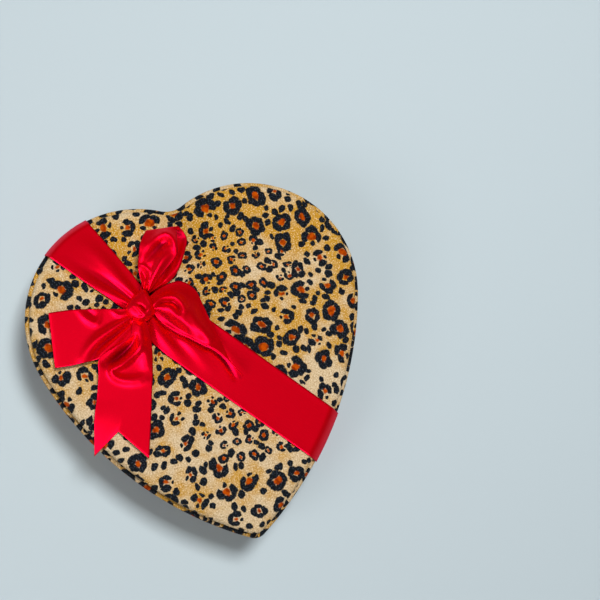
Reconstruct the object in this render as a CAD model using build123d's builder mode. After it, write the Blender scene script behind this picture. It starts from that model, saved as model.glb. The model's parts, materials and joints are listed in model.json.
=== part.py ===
from build123d import *
from math import atan2, cos, degrees, hypot, pi, radians, sin, sqrt
import os

os.makedirs("parts", exist_ok=True)

# A heart-shaped chocolate box with a padded plush lid and a satin bow, in millimetres.
# It stands on the XY plane with +Z up. The heart is symmetric about the YZ plane, with its
# cleft towards +Y and its tip towards -Y. The origin is under the middle of its length.

# Heart outline of the finished lid
heart_width = 160
heart_length = 166.4
lobe_radius = 52.5
side_radius = 170
tip_radius = 6.5
cleft_radius = 12
least_tip_radius = 2.4

# Sheet materials and the gaps between them
board = 1.5
card = 0.8
paper = 0.25
plush = 0.9
ribbon = 0.4
glue_gap = 0.1
soft_gap = 0.3

# Base
base_height = 31
wrap_turn_in = 12
lid_clearance = 0.7

# Lid skirt and its plush strip
skirt_height = 27
rim_turn_over = 8
rim_turn_in = 10
rim_edge_radius = 1.6

# Padded panel on the lid
panel_inset = 2.3
panel_turn_under = 7
pad_thickness = 3
panel_crown = 1
panel_edge_radius = 2.6

# Ribbon across the lid
ribbon_width = 25
ribbon_edge_radius = 4.6
knot_across_share = -0.16
knot_up_share = 0.22
band_heading = -52.3
band_waist = 12
upper_gather = 36
lower_gather = 18

# Bow
knot_width = 15
knot_height = 9
knot_foot_share = 0.86
knot_crown_share = 0.6
root_width = 9
root_height = 3
root_gap = 0.3
upper_loop_heading = 61
upper_loop_length = 30
upper_loop_width = 22.5
upper_fold_radius = 5
upper_fold_angle = 150
left_loop_heading = 188.5
left_loop_length = 36
left_fold_radius = 1.5
left_fold_angle = 168
bottom_tail_heading = 249
bottom_tail_length = 63.5
bottom_tail_crest = 5.5
bottom_tail_lift = 1.6
notch_depth = 12
right_root_heading = -8
right_tail_heading = -56.4
right_tail_length = 53
right_tail_height = 8.5

# Card partition that keeps the chocolates apart
partition_card = 1
partition_height = 15
partition_clearance = 0.6
slot_clearance = 0.2
end_tab = 3
cell_columns = 4
cell_margin = 5
cell_length_share = 0.2043
row_counts = (2, 4, 4)

# Paper cups and chocolates
cup_paper = 0.3
cup_gap = 1.5
cup_height = 15
cup_draft_share = 0.82
cup_flutes = 24
flute_depth = 0.7
wall_gap = 0.5
sweet_gap = 0.4
sweet_seat_share = 0.68
truffle_share = 0.97

# Cushion pad over the chocolates
cushion_thickness = 5
cushion_inset = 1.5
cushion_edge_radius = 2.2

# Insets of each layer from the outline of the lid, from the outside inwards
rim_band_inset = plush + glue_gap
rim_turn_in_inset = rim_band_inset + board + glue_gap
base_inset = rim_turn_in_inset + plush + lid_clearance
base_band_inset = base_inset + paper + glue_gap
base_turn_in_inset = base_band_inset + board + glue_gap
partition_inset = base_turn_in_inset + paper + partition_clearance

# Heights of each layer from the table upwards
base_floor = paper + board
base_top = base_height + paper
lid_board_top = base_top + board
rim_top = lid_board_top + plush
skirt_low = rim_top - skirt_height
panel_card_low = rim_top + plush
panel_pad_low = panel_card_low + card
panel_apex = panel_pad_low + pad_thickness + glue_gap + plush
ribbon_apex = panel_apex + glue_gap + ribbon
bow_floor = ribbon_apex + soft_gap
partition_top = base_floor + partition_height

# Centres of the heart's arcs on its right half: lobe, cleft, and the long side, which runs
# smoothly into the lobe and into the rounded tip
lobe_x = heart_width / 2 - lobe_radius
lobe_y = heart_length / 2 - lobe_radius
cleft_y = lobe_y + sqrt((lobe_radius + cleft_radius) ** 2 - lobe_x**2)
tip_y = tip_radius - heart_length / 2
lobe_reach = side_radius - lobe_radius
tip_reach = side_radius - tip_radius
centre_span = hypot(lobe_x, lobe_y - tip_y)
side_along = (lobe_reach**2 - tip_reach**2 + centre_span**2) / (2 * centre_span)
side_across = sqrt(lobe_reach**2 - side_along**2)
side_x = lobe_x - (side_along * lobe_x + side_across * (lobe_y - tip_y)) / centre_span
side_y = lobe_y - (side_along * (lobe_y - tip_y) - side_across * lobe_x) / centre_span

# The crown of the padded panel is part of a large ball: it falls by panel_crown from the
# middle of the lid to the far corner of a lobe
heart_reach = hypot(lobe_x, lobe_y) + lobe_radius
dome_radius = heart_reach**2 / (2 * panel_crown) + panel_crown / 2
dome_centre = panel_apex - dome_radius

# The bow sits off centre, on one lobe
knot_x = heart_width * knot_across_share
knot_y = heart_length * knot_up_share


def heart(inset, height=0):
    """The heart outline drawn in by inset, as a face at the given height."""
    side_arc = side_radius - inset
    tip_arc = max(tip_radius - inset, least_tip_radius)
    tip_arc_y = side_y - sqrt((side_arc - tip_arc) ** 2 - side_x**2)
    cleft_end = degrees(atan2(lobe_y - cleft_y, lobe_x))
    lobe_start = cleft_end + 180
    lobe_end = degrees(atan2(lobe_y - side_y, lobe_x - side_x))
    side_end = degrees(atan2(tip_arc_y - side_y, -side_x))
    with BuildSketch(Plane.XY.offset(height)) as outline:
        with BuildLine():
            CenterArc((0, cleft_y), cleft_radius + inset, -90, cleft_end + 90)
            CenterArc((lobe_x, lobe_y), lobe_radius - inset, lobe_start, lobe_end - lobe_start)
            CenterArc((side_x, side_y), side_arc, lobe_end, side_end - lobe_end)
            CenterArc((0, tip_arc_y), tip_arc, side_end, -90 - side_end)
            mirror(about=Plane.YZ)
        make_face()
    return outline.sketch


def heart_ring(outer_inset, inner_inset, height):
    """The strip between two heart outlines, as a face at the given height."""
    outer = heart(outer_inset, height)
    inner = heart(inner_inset, height)
    with BuildSketch(Plane.XY.offset(height)) as ring:
        add(outer)
        add(inner, mode=Mode.SUBTRACT)
    return ring.sketch


def crowned_block(inset, low, apex, edge_radius):
    """A heart-shaped block with a gently crowned top that is rounded off all round."""
    outline = heart(inset, low)
    with BuildPart() as block:
        extrude(outline, amount=apex - low)
        with Locations((0, 0, dome_centre)):
            Sphere(apex - dome_centre, rotation=(90, 0, 0), mode=Mode.INTERSECT)
        fillet(block.faces().sort_by(Axis.Z)[-1].edges(), edge_radius)
    return block.part


def from_knot(heading, distance):
    """The place in plan at a distance from the middle of the knot."""
    return Vector(knot_x, knot_y) + Vector(distance, 0).rotate(Axis.Z, heading)


def upright(heading):
    """The vertical plane through a bow piece: X runs out from the knot and Y runs up."""
    root = from_knot(heading, knot_width / 2 + root_gap)
    out = Vector(1, 0).rotate(Axis.Z, heading)
    return Plane(origin=(root.X, root.Y, bow_floor), x_dir=out, z_dir=out.cross(Vector(0, 0, 1)))


def lying(heading):
    """The level plane at the root of a bow piece: X runs out from the knot."""
    side = upright(heading)
    return Plane(origin=side.origin, x_dir=side.x_dir, z_dir=(0, 0, 1))


# Base: a chipboard heart inside a bent chipboard band, covered with paper
base_paper_outline = heart(base_inset + paper + glue_gap)
with BuildPart() as base_bottom_paper:
    extrude(base_paper_outline, amount=paper)

base_board_outline = heart(base_turn_in_inset, paper)
with BuildPart() as base_bottom_board:
    extrude(base_board_outline, amount=board)

base_band_ring = heart_ring(base_band_inset, base_band_inset + board, paper)
with BuildPart() as base_wall_band:
    extrude(base_band_ring, amount=base_height - paper)

# The covering paper goes up the wall, over its top edge and some way down inside
wrap_outside = heart_ring(base_inset, base_inset + paper, paper)
wrap_over_edge = heart_ring(base_inset, base_turn_in_inset + paper, base_height)
wrap_inside = heart_ring(base_turn_in_inset, base_turn_in_inset + paper, base_top - wrap_turn_in)
with BuildPart() as base_wrap:
    extrude(wrap_outside, amount=base_height)
    extrude(wrap_over_edge, amount=paper)
    extrude(wrap_inside, amount=wrap_turn_in)

# Lid: a chipboard heart glued inside the top of a bent chipboard band
rim_ring = heart_ring(rim_band_inset, rim_band_inset + board, skirt_low + plush)
with BuildPart() as lid_rim_band:
    extrude(rim_ring, amount=lid_board_top - skirt_low - plush)

lid_board_outline = heart(rim_turn_in_inset, base_top)
with BuildPart() as lid_top_board:
    extrude(lid_board_outline, amount=board)

# The plush strip covers the skirt, turns over the top edge and turns in at the bottom edge
rim_block = heart(0, skirt_low)
rim_hollow = heart(plush, skirt_low + plush)
rim_window = heart(rim_turn_over, lid_board_top)
rim_mouth = heart(rim_turn_in_inset + plush, skirt_low)
rim_fold = heart_ring(rim_turn_in_inset, rim_turn_in_inset + plush, skirt_low)
with BuildPart() as lid_rim_fabric:
    extrude(rim_block, amount=skirt_height)
    fillet(lid_rim_fabric.faces().sort_by(Axis.Z)[-1].edges(), rim_edge_radius)
    extrude(rim_hollow, amount=lid_board_top - skirt_low - plush, mode=Mode.SUBTRACT)
    extrude(rim_window, amount=plush, mode=Mode.SUBTRACT)
    extrude(rim_mouth, amount=plush, mode=Mode.SUBTRACT)
    extrude(rim_fold, amount=rim_turn_in)

# Padded panel: a card, a crowned foam pad, and plush drawn over both and under the edge
panel_fabric_inside = panel_inset + plush
card_outline = heart(panel_fabric_inside + glue_gap, panel_card_low)
with BuildPart() as lid_panel_card:
    extrude(card_outline, amount=card)

pad_block = crowned_block(
    panel_fabric_inside + glue_gap,
    panel_pad_low,
    panel_apex - plush - glue_gap,
    panel_edge_radius - plush,
)
with BuildPart() as lid_panel_pad:
    add(pad_block)

fabric_block = crowned_block(panel_inset, rim_top, panel_apex, panel_edge_radius)
fabric_hollow = crowned_block(
    panel_fabric_inside,
    panel_card_low,
    panel_apex - plush,
    panel_edge_radius - plush,
)
fabric_window = heart(panel_inset + panel_turn_under, rim_top)
with BuildPart() as lid_panel_fabric:
    add(fabric_block)
    add(fabric_hollow, mode=Mode.SUBTRACT)
    extrude(fabric_window, amount=plush, mode=Mode.SUBTRACT)

# Ribbon band: a layer of the lid's outside, cut to a strip with a gathered waist at the knot
band_outer = crowned_block(-glue_gap - ribbon, skirt_low, ribbon_apex, ribbon_edge_radius)
band_inner = crowned_block(-glue_gap, skirt_low, ribbon_apex - ribbon, ribbon_edge_radius - ribbon)
band_plane = Plane(
    origin=(knot_x, knot_y, skirt_low),
    x_dir=Vector(1, 0).rotate(Axis.Z, band_heading),
    z_dir=(0, 0, 1),
)
with BuildSketch(band_plane) as band_plan:
    with BuildLine():
        Polyline(
            (-heart_length, ribbon_width / 2),
            (-upper_gather, ribbon_width / 2),
            (0, band_waist / 2),
            (lower_gather, ribbon_width / 2),
            (heart_length, ribbon_width / 2),
            (heart_length, 0),
        )
        Line((-heart_length, ribbon_width / 2), (-heart_length, 0))
        mirror(about=Plane.XZ)
    make_face()
with BuildPart() as ribbon_band:
    add(band_outer)
    add(band_inner, mode=Mode.SUBTRACT)
    extrude(band_plan.sketch, amount=heart_length, mode=Mode.INTERSECT)

# Bow knot: a soft barrel of ribbon, widest at half its height
knot_stations = (
    (0, knot_foot_share),
    (knot_height / 2, 1),
    (knot_height, knot_crown_share),
)
with BuildPart() as bow_knot:
    for rise, width_share in knot_stations:
        width = knot_width * width_share
        with BuildSketch(Plane((knot_x, knot_y, bow_floor + rise))):
            Circle(width / 2)
    loft()


def ribbon_loop(heading, length, width, fold_radius, fold_angle):
    """A loop of ribbon: out along the lid, folded over, and back in an arch to the knot."""
    shoulder = length / 2
    with BuildPart() as loop:
        with BuildSketch(upright(heading)):
            with BuildLine():
                under = Line((0, 0), (length - fold_radius, 0))
                fold = JernArc(under @ 1, under % 1, fold_radius, fold_angle)
                over = TangentArc(fold @ 1, (0, root_height), tangent=fold % 1)
                Line(over @ 1, under @ 0)
            make_face()
            offset(amount=-ribbon, kind=Kind.INTERSECTION, mode=Mode.SUBTRACT)
        extrude(amount=width, both=True)
        with BuildSketch(lying(heading)):
            with BuildLine():
                Polyline(
                    (0, 0),
                    (0, root_width / 2),
                    (shoulder, width / 2),
                    (length + fold_radius, width / 2),
                    (length + fold_radius, 0),
                )
                mirror(about=Plane.XZ)
            make_face()
        extrude(amount=length, mode=Mode.INTERSECT)
    return loop.part


upper_loop = ribbon_loop(
    upper_loop_heading, upper_loop_length, upper_loop_width, upper_fold_radius, upper_fold_angle
)
with BuildPart() as bow_upper_loop:
    add(upper_loop)

left_loop = ribbon_loop(
    left_loop_heading, left_loop_length, ribbon_width, left_fold_radius, left_fold_angle
)
with BuildPart() as bow_left_loop:
    add(left_loop)

# Bottom tail: leaves the knot over a crest, lies along the lid and ends in a V cut
tail_along_shares = (0, 0.2, 0.5, 0.75, 1)
tail_rises = (root_height, bottom_tail_crest, bottom_tail_lift, ribbon, bottom_tail_lift)
tail_top = [(bottom_tail_length * s, rise) for s, rise in zip(tail_along_shares, tail_rises)]
tail_under = [(along, rise - ribbon) for along, rise in tail_top]
tail_shoulder_share = 0.4
with BuildPart() as bow_bottom_tail:
    with BuildSketch(upright(bottom_tail_heading)):
        with BuildLine():
            tail_back = Spline(*tail_top)
            tail_belly = Spline(*tail_under)
            Line(tail_back @ 0, tail_belly @ 0)
            Line(tail_back @ 1, tail_belly @ 1)
        make_face()
    extrude(amount=ribbon_width, both=True)
    with BuildSketch(lying(bottom_tail_heading)):
        with BuildLine():
            Polyline(
                (0, 0),
                (0, root_width / 2),
                (bottom_tail_length * tail_shoulder_share, ribbon_width / 2),
                (bottom_tail_length, ribbon_width / 2),
                (bottom_tail_length - notch_depth, 0),
            )
            mirror(about=Plane.XZ)
        make_face()
    extrude(amount=bottom_tail_length, mode=Mode.INTERSECT)

# Right tail: an arch that twists until the ribbon stands on its edge over the band
arch_along_shares = (0, 0.1, 0.26, 0.42, 0.57, 1)
arch_side_shares = (0.005, 0.1, 0.135, 0.1, 0.07, 0)
arch_rise_shares = (0.3, 0.75, 1, 0.95, 0.9, 0.6)
arch_width_shares = (0.28, 0.62, 0.88, 0.8, 0.64, 0.3)
arch_tilts = (0, 10, 25, 42, 55, 70)
arch_plane = Plane(
    origin=lying(right_root_heading).origin, x_dir=lying(right_tail_heading).x_dir, z_dir=(0, 0, 1)
)
arch_points = [
    arch_plane.from_local_coords(
        Vector(right_tail_length * along, right_tail_length * side, right_tail_height * rise)
    )
    for along, side, rise in zip(arch_along_shares, arch_side_shares, arch_rise_shares)
]
arch_path = Spline(*arch_points)
with BuildPart() as bow_right_tail:
    for point, width_share, tilt in zip(arch_points, arch_width_shares, arch_tilts):
        run = arch_path % arch_path.param_at_point(point)
        level = run.cross(Vector(0, 0, 1)).normalized()
        across = level * cos(radians(tilt)) + level.cross(run) * sin(radians(tilt))
        with BuildSketch(Plane(origin=point, x_dir=across, z_dir=run)):
            Rectangle(ribbon_width * width_share, ribbon)
    loft()

# Cells: four columns by three rows, with one cup alone in the tip. The tip cup just clears
# both sides of the box, and the rows are counted up from it.
inner_width = heart_width - 2 * partition_inset
cell_pitch = min(
    (inner_width - 2 * cell_margin) / cell_columns, heart_length * cell_length_share
)
cup_mouth = (cell_pitch - partition_card) / 2 - cup_gap
tip_cup_reach = side_radius - partition_inset - wall_gap - cup_mouth
tip_cup_y = side_y - sqrt(tip_cup_reach**2 - side_x**2)
last_line = tip_cup_y + cup_mouth + wall_gap + end_tab
cross_lines = [last_line + row * cell_pitch for row in range(len(row_counts))]
long_lines = (-cell_pitch, 0, cell_pitch)
crossings = [(x, y) for x in long_lines for y in cross_lines]
cup_places = [(0, tip_cup_y)] + [
    ((column - (count - 1) / 2) * cell_pitch, line + cell_pitch / 2)
    for line, count in zip(cross_lines, row_counts)
    for column in range(count)
]

# Partition: card strips stood on edge, slotted half-way through where they cross
partition_outline = heart(partition_inset, base_floor)
slot_width = partition_card + slot_clearance
slot_depth = (partition_height + slot_clearance) / 2
with BuildPart() as partition_cross_strips:
    with Locations(*[(0, y, base_floor) for y in cross_lines]):
        Box(
            heart_width,
            partition_card,
            partition_height,
            align=(Align.CENTER, Align.CENTER, Align.MIN),
        )
    extrude(partition_outline, amount=partition_height, mode=Mode.INTERSECT)
    with Locations(*[(x, y, partition_top) for x, y in crossings]):
        Box(
            slot_width,
            slot_width,
            slot_depth,
            align=(Align.CENTER, Align.CENTER, Align.MAX),
            mode=Mode.SUBTRACT,
        )

with BuildPart() as partition_long_strips:
    with Locations(*[(x, last_line - end_tab, base_floor) for x in long_lines]):
        Box(
            partition_card,
            heart_length,
            partition_height,
            align=(Align.CENTER, Align.MIN, Align.MIN),
        )
    extrude(partition_outline, amount=partition_height, mode=Mode.INTERSECT)
    with Locations(*[(x, y, base_floor) for x, y in crossings]):
        Box(
            slot_width,
            slot_width,
            slot_depth,
            align=(Align.CENTER, Align.CENTER, Align.MIN),
            mode=Mode.SUBTRACT,
        )


def fluted(radius, depth, height):
    """A pleated ring, as a face: every second corner is drawn in by depth."""
    corners = 2 * cup_flutes
    with BuildSketch(Plane.XY.offset(height)) as ring:
        Polygon(
            *[
                (
                    (radius - depth * (corner % 2)) * cos(2 * pi * corner / corners),
                    (radius - depth * (corner % 2)) * sin(2 * pi * corner / corners),
                )
                for corner in range(corners)
            ],
            align=None,
        )
    return ring.sketch


# Paper cup: pleated wall that opens upwards, with a flat floor
cup_foot = cup_mouth * cup_draft_share
cup_outside = (
    fluted(cup_foot, flute_depth / 2, 0),
    fluted(cup_mouth, flute_depth, cup_height),
)
cup_inside = (
    fluted(cup_foot - cup_paper, flute_depth / 2, cup_paper),
    fluted(cup_mouth - cup_paper, flute_depth, cup_height),
)
with BuildPart() as cup:
    loft(cup_outside, ruled=True)
    loft(cup_inside, ruled=True, mode=Mode.SUBTRACT)
with BuildPart() as paper_cups:
    with Locations(*[(x, y, base_floor) for x, y in cup_places]):
        add(cup.part)


def sweet(radius):
    """A ball-shaped chocolate with a flat foot, standing on the origin."""
    sink = radius * sweet_seat_share
    with BuildPart() as ball:
        with BuildSketch(Plane.XZ):
            with BuildLine():
                foot = Line((0, 0), (sqrt(radius**2 - sink**2), 0))
                ThreePointArc(foot @ 1, (radius, sink), (0, sink + radius))
                Line((0, sink + radius), (0, 0))
            make_face()
        revolve(axis=Axis.Z)
    return ball.part


# Chocolates: a smooth kind and a rough-coated kind, in turn along the rows. The ball is as
# large as the cone inside the pleats lets it be.
cone_foot = cup_foot - flute_depth / 2 - cup_paper
cone_mouth = cup_mouth - flute_depth - cup_paper
cone_slope = atan2(cone_mouth - cone_foot, cup_height)
sweet_floor = base_floor + cup_paper
sweet_radius = (cone_foot * cos(cone_slope) - sweet_gap) / (1 - sweet_seat_share * sin(cone_slope))
bonbon = sweet(sweet_radius)
truffle = sweet(sweet_radius * truffle_share)
with BuildPart() as striped_bonbons:
    with Locations(*[(x, y, sweet_floor) for x, y in cup_places[0::2]]):
        add(bonbon)
with BuildPart() as truffles:
    with Locations(*[(x, y, sweet_floor) for x, y in cup_places[1::2]]):
        add(truffle)

# Cushion pad: soft paper pad laid over the chocolates, with drawn-in edges
cushion_low = sweet_floor + sweet_radius * (1 + sweet_seat_share) + soft_gap
cushion_outline = heart(partition_inset + cushion_inset, cushion_low)
with BuildPart() as cushion_pad:
    extrude(cushion_outline, amount=cushion_thickness)
    fillet(cushion_pad.faces().filter_by(Axis.Z).edges(), cushion_edge_radius)

base_bottom_paper.part.label = "base_bottom_paper"
base_bottom_board.part.label = "base_bottom_board"
base_wall_band.part.label = "base_wall_band"
base_wrap.part.label = "base_wrap"
lid_rim_band.part.label = "lid_rim_band"
lid_top_board.part.label = "lid_top_board"
lid_rim_fabric.part.label = "lid_rim_fabric"
lid_panel_card.part.label = "lid_panel_card"
lid_panel_pad.part.label = "lid_panel_pad"
lid_panel_fabric.part.label = "lid_panel_fabric"
ribbon_band.part.label = "ribbon_band"
bow_knot.part.label = "bow_knot"
bow_upper_loop.part.label = "bow_upper_loop"
bow_left_loop.part.label = "bow_left_loop"
bow_bottom_tail.part.label = "bow_bottom_tail"
bow_right_tail.part.label = "bow_right_tail"
partition_cross_strips.part.label = "partition_cross_strips"
partition_long_strips.part.label = "partition_long_strips"
paper_cups.part.label = "paper_cups"
striped_bonbons.part.label = "striped_bonbons"
truffles.part.label = "truffles"
cushion_pad.part.label = "cushion_pad"

export_step(base_bottom_paper.part, "parts/base_bottom_paper.step")
export_step(base_bottom_board.part, "parts/base_bottom_board.step")
export_step(base_wall_band.part, "parts/base_wall_band.step")
export_step(base_wrap.part, "parts/base_wrap.step")
export_step(lid_rim_band.part, "parts/lid_rim_band.step")
export_step(lid_top_board.part, "parts/lid_top_board.step")
export_step(lid_rim_fabric.part, "parts/lid_rim_fabric.step")
export_step(lid_panel_card.part, "parts/lid_panel_card.step")
export_step(lid_panel_pad.part, "parts/lid_panel_pad.step")
export_step(lid_panel_fabric.part, "parts/lid_panel_fabric.step")
export_step(ribbon_band.part, "parts/ribbon_band.step")
export_step(bow_knot.part, "parts/bow_knot.step")
export_step(bow_upper_loop.part, "parts/bow_upper_loop.step")
export_step(bow_left_loop.part, "parts/bow_left_loop.step")
export_step(bow_bottom_tail.part, "parts/bow_bottom_tail.step")
export_step(bow_right_tail.part, "parts/bow_right_tail.step")
export_step(partition_cross_strips.part, "parts/partition_cross_strips.step")
export_step(partition_long_strips.part, "parts/partition_long_strips.step")
export_step(paper_cups.part, "parts/paper_cups.step")
export_step(striped_bonbons.part, "parts/striped_bonbons.step")
export_step(truffles.part, "parts/truffles.step")
export_step(cushion_pad.part, "parts/cushion_pad.step")
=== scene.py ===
# %% [markdown]
# # A plush heart box with a satin bow
#
# The box is a chipboard heart with a lift-off lid. The lid is covered in short-pile leopard
# plush over a thin pad, and a red satin ribbon is tied over one lobe. The CAD model brings
# the boards, the partition, the paper cups and the chocolates. This lesson gives them their
# finishes and makes every soft piece again: the padded panel, the plush round the rim, the
# ribbon, the bow and the pad over the chocolates. The chocolates get their last touches too.
#
# Lengths are in metres, as Blender has them. Places are typed in millimetres and turned
# into metres in one helper, so that they read like a drawing of the box.

import json
from math import atan2, cos, exp, hypot, pi, radians, sin, sqrt

import bpy
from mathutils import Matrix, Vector
from mathutils import noise as random_field


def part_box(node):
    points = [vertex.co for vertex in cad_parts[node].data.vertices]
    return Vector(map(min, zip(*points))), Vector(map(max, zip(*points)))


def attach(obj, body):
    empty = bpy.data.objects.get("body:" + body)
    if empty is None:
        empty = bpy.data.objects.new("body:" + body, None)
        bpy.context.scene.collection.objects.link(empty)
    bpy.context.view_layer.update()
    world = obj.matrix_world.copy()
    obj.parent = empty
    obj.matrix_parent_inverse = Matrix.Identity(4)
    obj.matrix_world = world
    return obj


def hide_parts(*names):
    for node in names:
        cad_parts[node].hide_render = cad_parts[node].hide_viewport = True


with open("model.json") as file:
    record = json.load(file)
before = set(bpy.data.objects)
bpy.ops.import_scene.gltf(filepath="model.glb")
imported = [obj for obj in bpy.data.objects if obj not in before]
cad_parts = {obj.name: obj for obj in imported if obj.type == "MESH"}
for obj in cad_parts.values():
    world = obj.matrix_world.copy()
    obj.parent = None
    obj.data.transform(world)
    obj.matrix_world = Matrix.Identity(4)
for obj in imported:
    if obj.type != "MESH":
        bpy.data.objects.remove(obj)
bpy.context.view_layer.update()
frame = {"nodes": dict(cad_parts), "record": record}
bpy.ops.object.select_all(action="DESELECT")

MM = 0.001


def mm(x, y, z):
    """A place typed in millimetres, in metres."""
    return Vector((x, y, z)) * MM


# %% [markdown]
# ## Camera
#
# The lid is seen almost from straight above, a little from the left of the heart, and the
# picture is rolled so that the heart leans to the left. A camera could be set by eye. Here an
# outline fit of the heart gave its place, so that a fold read off the photograph lands where it
# should. A 60 mm lens at half a metre gives the same slight narrowing to the tip.

# %% Set the camera
camera_place = mm(-42.9, -4.2, 508)
camera_turn = (radians(5.67), radians(-9.81), radians(-15.35))
bpy.ops.object.camera_add(location=camera_place, rotation=camera_turn)
camera = bpy.context.object
camera.data.lens = 60
camera.data.sensor_width = 36
camera.data.dof.use_dof = False
bpy.context.scene.camera = camera
print("camera at", tuple(round(c, 3) for c in camera_place))

# %% [markdown]
# ## Floor and light
#
# The box lies on a pale cool-grey ground. The main light is high at the upper right, so that
# the short shadows fall to the lower left, and a weak broad light at the left fills them. These
# two make no highlights. Satin shows what it reflects, so it gets three lights that are only
# seen in reflections: one overhead, one at the left and one in front. A slope of the ribbon that
# leans towards one of them turns pink. One set of lights could do both jobs, but then plush and
# satin couldn't be balanced apart. The surround is weak, which keeps level satin deep red.

# %% Floor, lights and surround
floor_size = 40
lid_middle = mm(-10, 0, 40)
surround_strength = 0.13
from_left = (-0.85, -0.5, 1)
picture_up = camera.matrix_basis.to_3x3() @ Vector((0, 1, 0))
picture_right = camera.matrix_basis.to_3x3() @ Vector((1, 0, 0))
bpy.ops.mesh.primitive_plane_add(size=floor_size)
floor = bpy.context.object
floor.name = "floor"


def srgb(red, green, blue):
    """A screen colour from 0 to 255, as the linear colour that a shader takes."""
    parts = [c / 255 for c in (red, green, blue)]
    return tuple(c / 12.92 if c <= 0.04045 else ((c + 0.055) / 1.055) ** 2.4 for c in parts) + (1,)


def new_material(name):
    """An empty procedural material: its node tree and its main shader."""
    material = bpy.data.materials.new(name)
    material.use_nodes = True
    return material, material.node_tree, material.node_tree.nodes["Principled BSDF"]


floor_finish, tree, shader = new_material("floor_grey")
shader.inputs["Base Color"].default_value = srgb(196, 209, 214)
shader.inputs["Roughness"].default_value = 0.9
floor.data.materials.append(floor_finish)


def area_light(name, direction, distance, size, power):
    """A square light that shines at the middle of the lid from the given direction."""
    place = lid_middle + direction.normalized() * distance
    turn = (-direction).to_track_quat("-Z", "Y").to_euler()
    bpy.ops.object.light_add(type="AREA", location=place, rotation=turn)
    light = bpy.context.object
    light.name = name
    light.data.size = size
    light.data.energy = power
    return light


def toward(right, up, rise):
    """A direction from the lid, along the picture's right, the picture's up and the lid's up."""
    return picture_right * right + picture_up * up + Vector((0, 0, rise))


key_light = area_light("key_light", toward(0.3, 0.6, 1.6), distance=1.2, size=0.3, power=12.5)
key_light.visible_glossy = False
fill_light = area_light("fill_light", toward(*from_left), distance=1, size=0.5, power=2.6)
fill_light.visible_glossy = False
top_glint = area_light("top_glint", Vector((0.08, 0.01, 1)), distance=1, size=0.6, power=0.6)
left_glint = area_light("left_glint", toward(*from_left), distance=1, size=0.4, power=12.5)
near_glint = area_light("near_glint", toward(-0.12, -1, 0.9), distance=1, size=0.3, power=6)
for glint in (top_glint, left_glint, near_glint):
    glint.visible_diffuse = False
world = bpy.data.worlds.new("surround")
bpy.context.scene.world = world
world.use_nodes = True
surround = world.node_tree.nodes["Background"].inputs
surround["Strength"].default_value = surround_strength
surround["Color"].default_value = srgb(236, 241, 245)
bpy.context.scene.view_settings.view_transform = "Standard"
lights = [entry.name for entry in bpy.context.scene.objects if entry.type == "LIGHT"]
print("lights:", lights, "and", world.name)

# %% [markdown]
# ## Small tools for materials
#
# A procedural material is a chain of small sums. Its nodes could be added one by one, but a
# leopard print takes hundreds. These helpers add one node each and return its result, so that
# a finish below reads as a list of steps.

# %% Material helpers


def feed(tree, socket, value):
    """Sets a socket to a value, or links it to another node's result."""
    if isinstance(value, bpy.types.NodeSocket):
        tree.links.new(value, socket)
    else:
        socket.default_value = value


def maths(tree, operation, *values):
    """One Math node."""
    node = tree.nodes.new("ShaderNodeMath")
    node.operation = operation
    for socket, value in zip(node.inputs, values):
        feed(tree, socket, value)
    return node.outputs[0]


def vector_maths(tree, operation, *values):
    """One Vector Math node. The factor of a scaling comes second."""
    node = tree.nodes.new("ShaderNodeVectorMath")
    node.operation = operation
    sockets = (node.inputs[0], node.inputs["Scale"]) if operation == "SCALE" else node.inputs
    for socket, value in zip(sockets, values):
        feed(tree, socket, value)
    return node.outputs["Value"] if operation == "LENGTH" else node.outputs[0]


def spread(tree, value, low, high, to_low=0.0, to_high=1.0, smooth=True):
    """Maps low to high onto to_low to to_high, with soft ends unless smooth is off."""
    node = tree.nodes.new("ShaderNodeMapRange")
    node.interpolation_type = "SMOOTHSTEP" if smooth else "LINEAR"
    for name, entry in zip(
        ("Value", "From Min", "From Max", "To Min", "To Max"), (value, low, high, to_low, to_high)
    ):
        feed(tree, node.inputs[name], entry)
    return node.outputs[0]


def blend(tree, factor, first, second):
    """Mixes two colours."""
    node = tree.nodes.new("ShaderNodeMix")
    node.data_type = "RGBA"
    for index, value in ((0, factor), (6, first), (7, second)):
        feed(tree, node.inputs[index], value)
    return node.outputs[2]


def noise(tree, place, scale, detail=2.0, output="Fac", dimensions="2D"):
    """One noise texture, flat unless three dimensions are asked for."""
    node = tree.nodes.new("ShaderNodeTexNoise")
    node.noise_dimensions = dimensions
    for name, value in (("Vector", place), ("Scale", scale), ("Detail", detail)):
        feed(tree, node.inputs[name], value)
    return node.outputs[output]


def bump(tree, shader, height, strength, distance):
    """Shades a surface as if it had this height."""
    node = tree.nodes.new("ShaderNodeBump")
    node.inputs["Strength"].default_value = strength
    node.inputs["Distance"].default_value = distance
    tree.links.new(height, node.inputs["Height"])
    tree.links.new(node.outputs[0], shader.inputs["Normal"])


print("material tools ready")

# %% [markdown]
# ## Leopard plush
#
# The print has broken rings with rust centres, solid dots between them, and a ground that
# wanders from gold to cream. In a few fields everything is smaller and closer together. It
# could be painted as a picture, but nodes stay sharp at any distance and need no file. A
# Voronoi texture gives each ring its own cell. In a cell, the angle round the centre is cut
# into four parts, and each part holds one dark blot: side by side they make a lumpy ring, and
# where a blot is small the ring is open. The rust is a round spot over the middle. The nearest
# and the second nearest ring are both drawn, so that none is cut off at the edge of its cell. A
# finer Voronoi texture places the dots, and a dot is only kept where it lies clear of the
# rings. Noise bends the coordinates first, so that no two rings have the same outline. The
# print reads the UV map, which holds metres along the cloth, so it has the same size on the
# panel and on the rim.

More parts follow.
